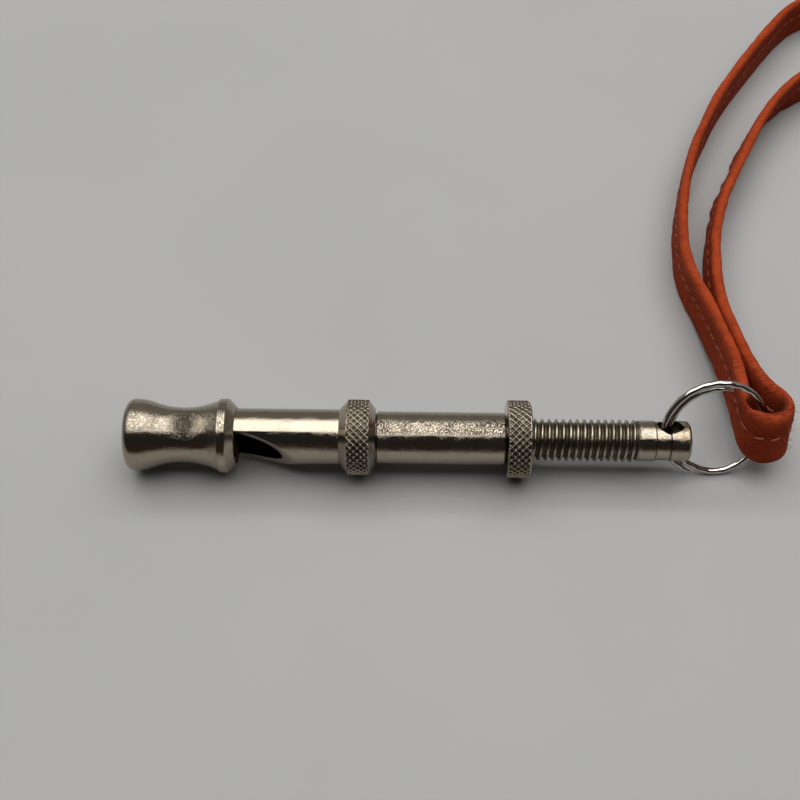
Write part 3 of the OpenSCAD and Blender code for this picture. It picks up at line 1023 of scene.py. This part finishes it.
def knurl(top):
    """Two crossing families of raised lines with diamond pits between them."""
    def surface(station, angles):
        one = (station / KNURL_PITCH + KNURL_STARTS * angles / TURN) % 1
        other = (station / KNURL_PITCH - KNURL_STARTS * angles / TURN) % 1
        ridge = np.maximum(abs(2 * one - 1), abs(2 * other - 1))
        wear = 0.02 * np.sin(3 * angles + station) + 0.015 * np.sin(11 * angles - 2 * station)
        height = np.clip((ridge - 0.62) / 0.35, 0, 1)
        return top + wear - KNURL_DEPTH * (1 - height), height
    return surface


def make_knurled_collar():
    top, start, end = 5.4, 30.3, 35.45
    outline = [
        (start, 4.05), (start + 1.15, top - 0.12), (start + 1.3, top), (end - 1.05, top),
        (end - 0.9, top - 0.12), (end, 4.05), (end, BARREL_NECK), (TUBE_END, BARREL_NECK),
        (TUBE_END, TUBE_OUTER), (start, TUBE_OUTER)]
    rows = subdivide(soften(outline, 0.06), start, end, KNURL_ROW, 3.98)
    piece = turned(
        "knurled_collar_ring", rows, KNURL_METAL, KNURL_SEGMENTS, relief=knurl(top), above=top - 0.08)
    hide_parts("knurled_collar")
    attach(piece, "whistle_body")


def make_lock_nut():
    top, start, end, bore = 5.55, 54.0, 57.5, TAPPED_BORE
    outline = [
        (start, 5.1), (start + 0.12, top - 0.12), (start + 0.35, top), (end - 0.5, top),
        (end - 0.15, top - 0.18), (end, 5.0), (end, bore + 0.3), (end - 0.3, bore), (start + 0.3, bore),
        (start, bore + 0.3)]
    rows = subdivide(soften(outline, 0.06), start, end, KNURL_ROW, 5.2)
    piece = turned("lock_nut_ring", rows, KNURL_METAL, KNURL_SEGMENTS, relief=knurl(top), above=top - 0.08)
    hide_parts("lock_nut")
    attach(piece, "nut")


def make_rear_barrel():
    neck_end, tapped_at, end, outer, edge = 35.7, 42.0, 53.9, 3.75, 0.25
    outline = [
        (TUBE_END, BARREL_NECK), (neck_end, BARREL_NECK), (neck_end, outer), (end - edge, outer),
        (end, outer - edge), (end, TAPPED_BORE + edge), (end - edge, TAPPED_BORE), (tapped_at, TAPPED_BORE),
        (tapped_at, TUBE_BORE), (TUBE_END, TUBE_BORE)]
    piece = turned("rear_barrel_shell", soften(outline, 0.07), BARREL_METAL, 256, sharp=50)
    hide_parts("rear_barrel")
    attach(piece, "whistle_body")


THREAD_PITCH = 1.0
THREAD_CREST = 3.0
THREAD_DEPTH = 0.61
THREAD_START = 41.0
THREAD_END = 72.7
# over this last stretch the thread's pits rise to a shallow groove
THREAD_FADE = 0.7
THREAD_GROOVE = 0.16


def thread_surface(station, angles):
    """A V thread with a narrow flat crest and a rounded root, which runs out at the rod's plain end."""
    phase = (station / THREAD_PITCH - angles / TURN) % 1
    flank = abs(2 * phase - 1)
    height = np.clip((flank - 0.16) / 0.64, 0, 1)
    height = np.where(height < 0.15, height ** 2 / 0.3 + 0.075, height)
    depth = THREAD_DEPTH * (1 - height)
    if THREAD_END - station < THREAD_FADE:
        fade = float(smooth_step(0.0, THREAD_FADE, THREAD_END - station))
        depth = depth * fade + THREAD_GROOVE * (1 - fade)
    return THREAD_CREST - depth, height


def make_screw():
    core = THREAD_CREST - THREAD_DEPTH
    nose_at, neck_at, row = 37.04, 39.8, THREAD_PITCH / 14
    shaft = [(nose_at, 1.5), (neck_at, 1.5), (neck_at, core), (THREAD_START, core)]
    length = THREAD_END - THREAD_START
    count = round(length / row)
    shaft += [(THREAD_START + length * k / count, THREAD_CREST) for k in range(1, count + 1)]
    shaft += [(THREAD_END + 0.02, 2.78), (THREAD_END + 0.3, 2.78)]
    threaded = turned(
        "adjuster_shaft", shaft, SCREW_METAL, 112, closed=False, relief=thread_surface, above=2.8, sharp=60)
    rod, neck, end = 2.9, 2.75, 80.0
    tail = [
        (THREAD_END, 2.2), (THREAD_END, rod - 0.1), (THREAD_END + 0.12, rod), (75.0, rod), (75.06, neck),
        (77.04, neck), (77.1, rod), (end - 0.35, rod), (end, rod - 0.35), (end, 1.0)]
    tail = soften(tail, 0.06, closed=False)
    plain = turned("adjuster_tail", tail, SCREW_METAL, 192, closed=False, sharp=40)
    cut_away(plain, hole_cutter(rod), 0.08)
    add_attribute(plain, "relief", np.ones(len(plain.data.vertices)))
    piece = joined("adjuster_screw_metal", threaded, plain)
    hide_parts("adjuster_screw")
    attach(piece, "screw")


HOLE_AT = 77.2
HOLE = 3.6


def hole_cutter(rod):
    """The cross hole for the ring, with a countersink at each mouth."""
    sink_depth, sink_slope, segments = 0.5, 0.5, 96
    wide = HOLE / 2 + (rod + sink_depth) * sink_slope
    mouth = rod - sink_depth
    outline = [(-2 * rod, wide), (-mouth, HOLE / 2), (mouth, HOLE / 2), (2 * rod, wide)]
    turn = Matrix.Rotation(math.radians(-RING_LEAN), 4, "X")
    place = Matrix.Translation(Vector((MOUTH_X + HOLE_AT * MM, 0, AXIS_Z))) @ turn
    points = []
    for along, radius in outline:
        for k in range(segments):
            a = TURN * k / segments
            points.append(place @ (Vector((radius * math.cos(a), radius * math.sin(a), along)) * MM))
    return make_mesh("hole_cutter", points, tube_faces(len(outline), segments), SCREW_METAL)


make_mouthpiece()
make_front_tube()
make_knurled_collar()
make_lock_nut()
make_rear_barrel()
make_screw()
for node in ("windway_plug", "tuning_piston"):
    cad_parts[node].data.materials[0] = BRASS_METAL


# ---------------- floor and light

def make_floor():
    size = 3.0
    points = [(-size, -size, 0), (size, -size, 0), (size, size, 0), (-size, size, 0)]
    floor = make_mesh("floor", points, [(0, 1, 2, 3)], tabletop("pale_tabletop"))


# radiance of the big light overhead as matt surfaces get it and as it shows in reflections, and of a strip
# behind it that only lights matt surfaces
OVERHEAD = 2.45
GLEAM = 3.4
BEHIND = 6.4
OVERHEAD_REACH = (-0.68, 1.45)
BEHIND_REACH = (1.45, 1.85)
LIGHT_HEIGHT = 2.0
LIGHT_WIDTH = 3.2
LIGHT_COLOUR = (1.0, 0.995, 0.985)


def make_light(name, near, far, radiance):
    """A soft rectangular light overhead, from near to far behind the whistle, not seen in reflections."""
    data = bpy.data.lights.new(name, "AREA")
    data.shape = "RECTANGLE"
    data.size = LIGHT_WIDTH
    data.size_y = far - near
    data.energy = radiance * math.pi * LIGHT_WIDTH * (far - near)
    data.color = LIGHT_COLOUR
    light = bpy.data.objects.new(name, data)
    light.location = (0, (near + far) / 2, LIGHT_HEIGHT)
    light.visible_camera = False
    light.visible_glossy = False
    bpy.context.scene.collection.objects.link(light)


def make_card(name, points, shader):
    """A flat card that nothing but the reflections in the metal can see."""
    card = make_mesh(name, points, [(0, 1, 2, 3)], shader.material)
    for rays in ("camera", "diffuse", "shadow", "transmission"):
        setattr(card, "visible_" + rays, False)


def make_cards():
    """A dark card low in front of the whistle, and a bright one under the overhead light."""
    s = Shader("dark_card")
    rise = s.add("ShaderNodeSeparateXYZ", {0: s.place}).outputs["Z"]
    low_to_high = s.between(rise, 0.012, 0.035)
    s.set(Base_Color=s.blend(low_to_high, (0.060, 0.028, 0.020), (0.018, 0.018, 0.018)), Roughness=0.9)
    away, half, top = -0.062, 0.6, 0.09
    make_card("dark_card", [(-half, away, 0), (half, away, 0), (half, away, top), (-half, away, top)], s)
    s = Shader("gleam_card")
    s.set(Base_Color=(0.0, 0.0, 0.0, 1.0), Emission_Color=(*LIGHT_COLOUR, 1.0), Emission_Strength=GLEAM)
    half, height = LIGHT_WIDTH / 2, LIGHT_HEIGHT - 0.05
    near, far = OVERHEAD_REACH
    corners = [(-half, near, height), (half, near, height), (half, far, height), (-half, far, height)]
    make_card("gleam_card", corners, s)


SKY = [
    (0.0, (0.05, 0.03, 0.026)), (0.16, (0.022, 0.020, 0.020)), (0.36, (0.020, 0.020, 0.020)),
    (0.40, (0.16, 0.16, 0.16)), (0.70, (0.30, 0.29, 0.27)), (1.0, (0.22, 0.21, 0.19))]
BACKDROP = (0.43, 0.43, 0.425)


def make_world():
    """A dark side in front, a grey one behind, and a pale backdrop where the camera sees past the floor."""
    world = bpy.data.worlds.new("studio")
    bpy.context.scene.world = world
    world.use_nodes = True
    world.node_tree.nodes.clear()
    nodes = Nodes(world.node_tree)
    way = nodes.add("ShaderNodeTexCoord").outputs["Generated"]
    split = nodes.add("ShaderNodeSeparateXYZ", {0: way})
    front = nodes.times(split.outputs["Y"], -1)
    # 0 is level in front, a half is overhead and 1 is level behind
    share = nodes.sums("DIVIDE", nodes.sums("ARCTAN2", split.outputs["Z"], front), math.pi)
    ramp = nodes.add("ShaderNodeValToRGB", {0: share})
    colours = ramp.color_ramp.elements
    colours.remove(colours[1])
    colours[0].color = (*SKY[0][1], 1)
    for position, colour in SKY[1:]:
        colours.new(position).color = (*colour, 1)
    around = nodes.add("ShaderNodeBackground", {0: ramp.outputs[0]})
    backdrop = nodes.add("ShaderNodeBackground", {0: (*BACKDROP, 1)})
    seen = nodes.add("ShaderNodeLightPath").outputs["Is Camera Ray"]
    mix = nodes.add("ShaderNodeMixShader", {0: seen, 1: around.outputs[0], 2: backdrop.outputs[0]})
    nodes.add("ShaderNodeOutputWorld", {0: mix.outputs[0]})


make_floor()
make_light("overhead", *OVERHEAD_REACH, OVERHEAD)
make_light("behind", *BEHIND_REACH, BEHIND)
make_cards()
make_world()
bpy.context.scene.view_settings.view_transform = "Standard"
